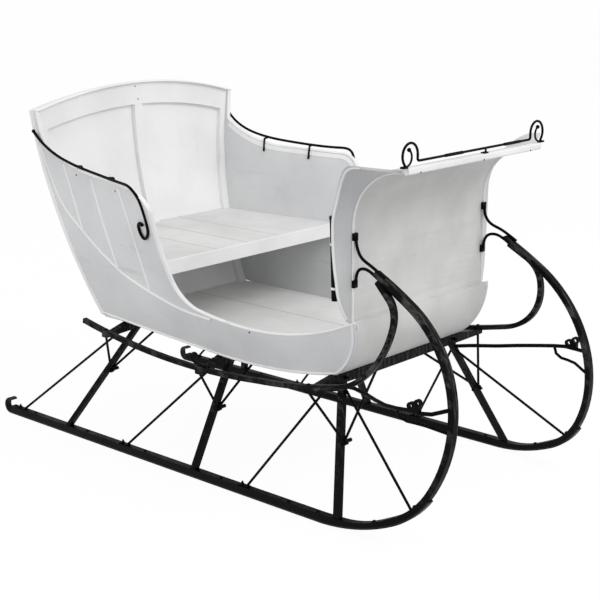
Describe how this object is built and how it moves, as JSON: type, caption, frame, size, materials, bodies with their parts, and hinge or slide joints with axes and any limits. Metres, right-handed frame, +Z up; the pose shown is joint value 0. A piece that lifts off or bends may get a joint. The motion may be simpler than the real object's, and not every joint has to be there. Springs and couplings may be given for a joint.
{
  "type": "horse drawn sleigh",
  "caption": "Light open sleigh with a curved-back seat body and a curled dash, carried on tall bent runners by slanting posts and iron stays",
  "frame": {"origin": "on the ground, under the middle of the length and width", "axes": "+X forward, the way it is pulled; +Y to the sleigh's left; +Z up"},
  "size_m": [2.0852, 1.1556, 1.2719],
  "materials": {
    "body_paint": "light grey coach paint brushed over thin boards, worn",
    "trim_paint": "pale grey paint on framing strips",
    "seat_paint": "pale paint rubbed by use on boards",
    "gear_wood": "gloss black paint on bent ash",
    "forged_iron": "black painted wrought iron, brown at the rubbed edges",
    "shoe_steel": "dark flat steel, polished by the road underneath",
    "rail_iron": "black painted round iron with worn highlights",
    "socket_iron": "black painted sheet tube"
  },
  "bodies": {
    "root": {"arm_rail_left": "rail_iron", "arm_rail_right": "rail_iron", "back_frame": "trim_paint", "back_panel": "body_paint", "beam_front": "gear_wood", "beam_mid": "gear_wood", "beam_rear": "gear_wood", "dash_board": "body_paint", "dash_lip": "body_paint", "dash_wing_left": "body_paint", "dash_wing_right": "body_paint", "door_strip_left": "trim_paint", "door_strip_right": "trim_paint", "floor_board": "seat_paint", "floor_bolster": "seat_paint", "hook_iron_left": "forged_iron", "hook_iron_right": "forged_iron", "knee_iron_front_left": "forged_iron", "knee_iron_front_right": "forged_iron", "knee_iron_mid_left": "forged_iron", "knee_iron_mid_right": "forged_iron", "knee_iron_rear_left": "forged_iron", "knee_iron_rear_right": "forged_iron", "post_front_left": "gear_wood", "post_front_right": "gear_wood", "post_mid_left": "gear_wood", "post_mid_right": "gear_wood", "post_rear_left": "gear_wood", "post_rear_right": "gear_wood", "rave_left": "gear_wood", "rave_right": "gear_wood", "rein_rail": "rail_iron", "runner_left": "gear_wood", "runner_right": "gear_wood", "scroll_iron_left": "forged_iron", "scroll_iron_right": "forged_iron", "seat_apron": "trim_paint", "seat_board": "seat_paint", "seat_cleat_left": "trim_paint", "seat_cleat_right": "trim_paint", "shaft_bar_left": "forged_iron", "shaft_bar_right": "forged_iron", "shoe_left": "shoe_steel", "shoe_right": "shoe_steel", "side_fore_left": "body_paint", "side_fore_right": "body_paint", "side_rear_left": "body_paint", "side_rear_right": "body_paint", "stay_fore_left": "forged_iron", "stay_fore_right": "forged_iron", "stay_front_left": "forged_iron", "stay_front_right": "forged_iron", "stay_mid_left": "forged_iron", "stay_mid_right": "forged_iron", "stay_rear_left": "forged_iron", "stay_rear_right": "forged_iron", "toe_board": "body_paint", "whip_socket": "socket_iron"}
  },
  "joints": []
}
